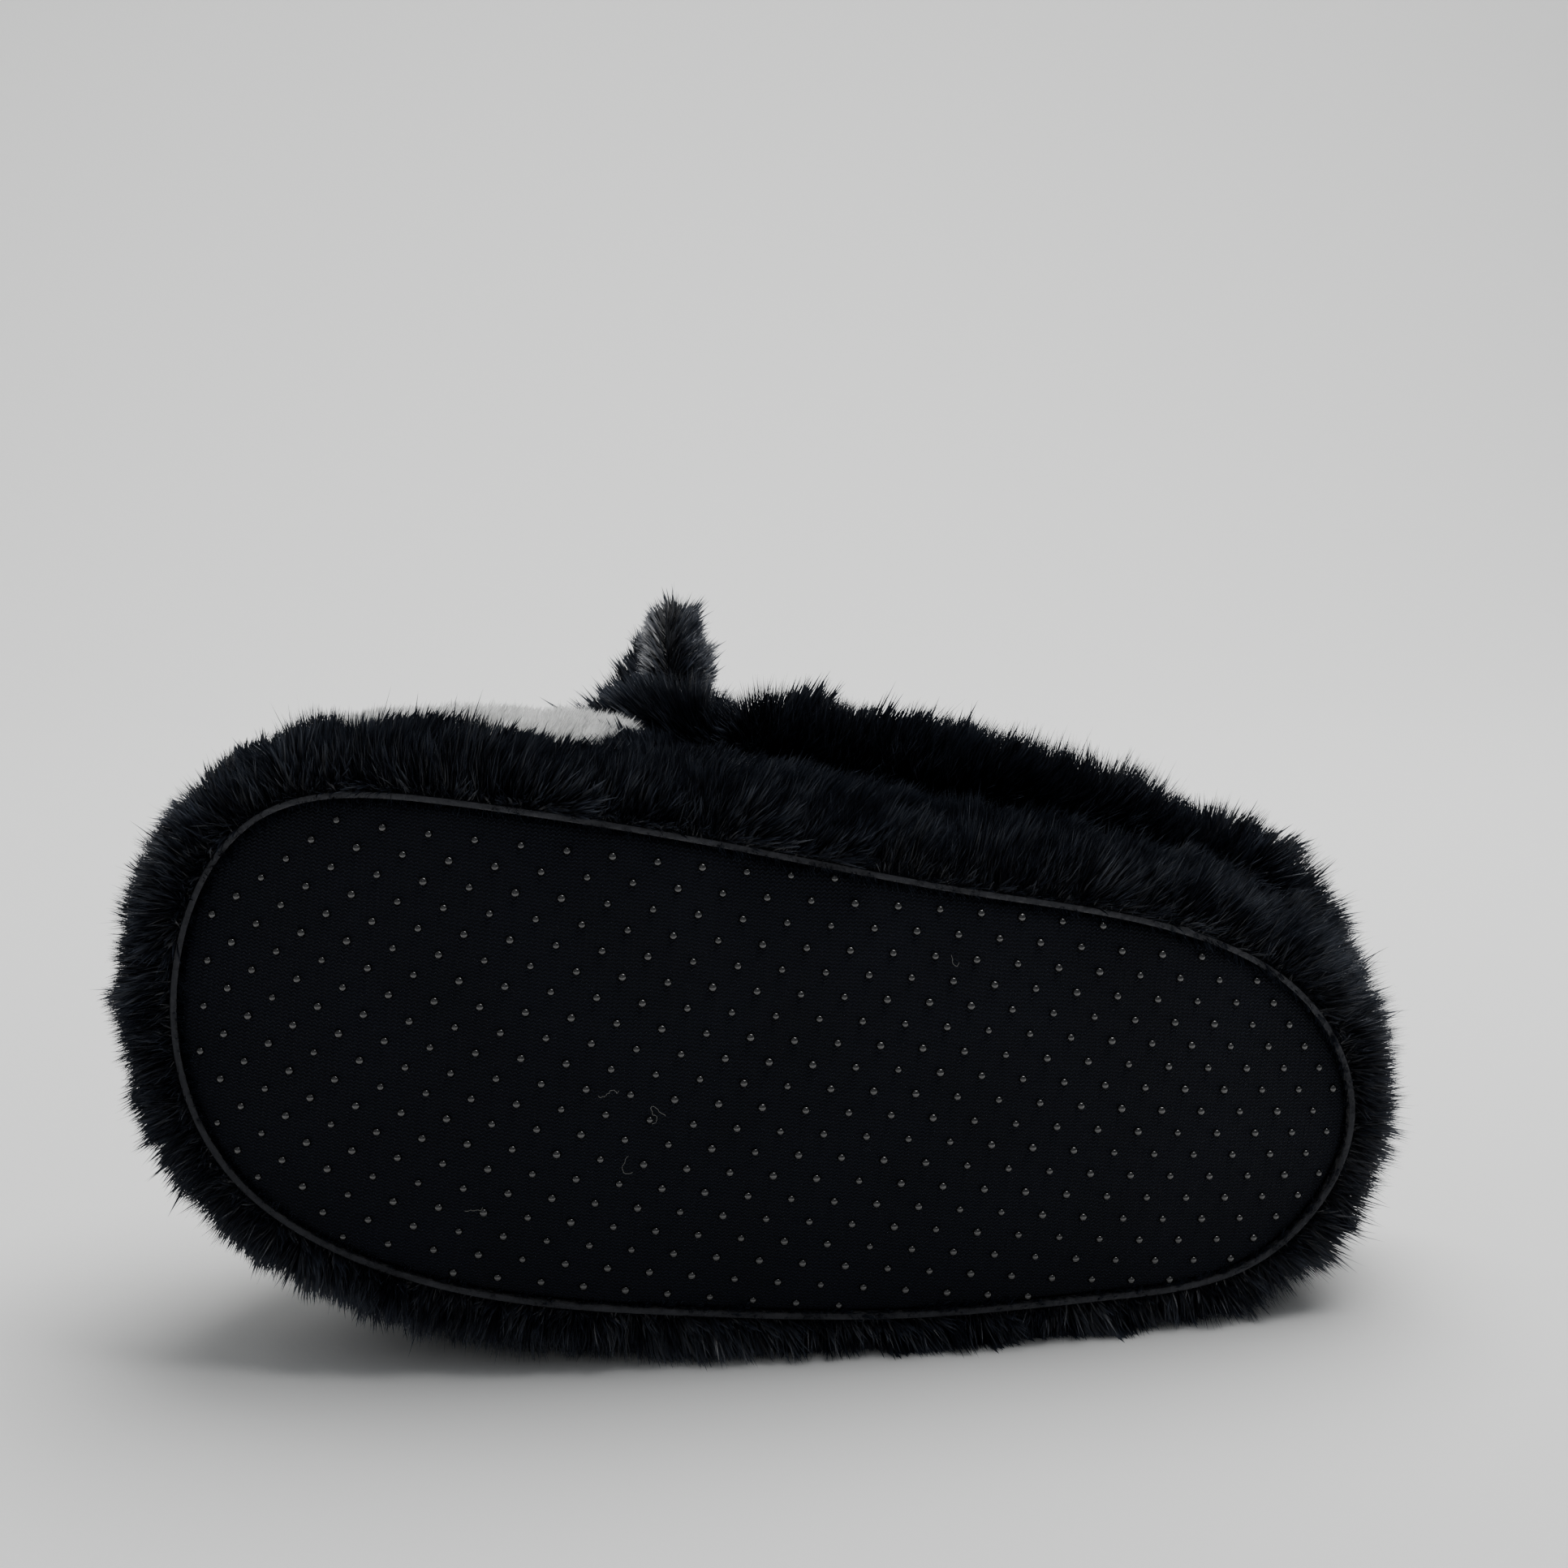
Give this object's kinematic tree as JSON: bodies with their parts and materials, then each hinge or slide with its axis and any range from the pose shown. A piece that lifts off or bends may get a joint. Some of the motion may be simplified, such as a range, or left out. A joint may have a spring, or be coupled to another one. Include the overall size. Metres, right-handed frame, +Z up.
{
  "type": "animal slipper",
  "caption": "Black plush slipper for a right foot, lying on its outer side, with a white animal face, cupped ears, a rolled collar cuff and a dotted knit sole.",
  "frame": {"origin": "on the floor, under the centre of the lying slipper's box", "axes": "+X along the slipper from toe to heel, -Y the way the sole faces, +Z up, towards the slipper's inner side"},
  "size_m": [0.2762, 0.1448, 0.1452],
  "materials": {
    "black_plush": "deep faux fur, pile 7 to 9 mm",
    "white_plush": "short soft plush",
    "sole_knit": "fine ribbed knit with glossy grip dots",
    "fleece": "flat fleece",
    "gloss_black": "gloss"
  },
  "bodies": {
    "root": {"outsole": "sole_knit", "insole": "fleece", "upper": "black_plush", "face_panel": "white_plush", "collar_cuff": "black_plush", "ear_inner": "black_plush", "ear_outer": "black_plush", "eye_patch_inner": "black_plush", "eye_patch_outer": "black_plush", "eye_inner": "gloss_black", "eye_outer": "gloss_black", "nose": "black_plush"}
  },
  "joints": []
}
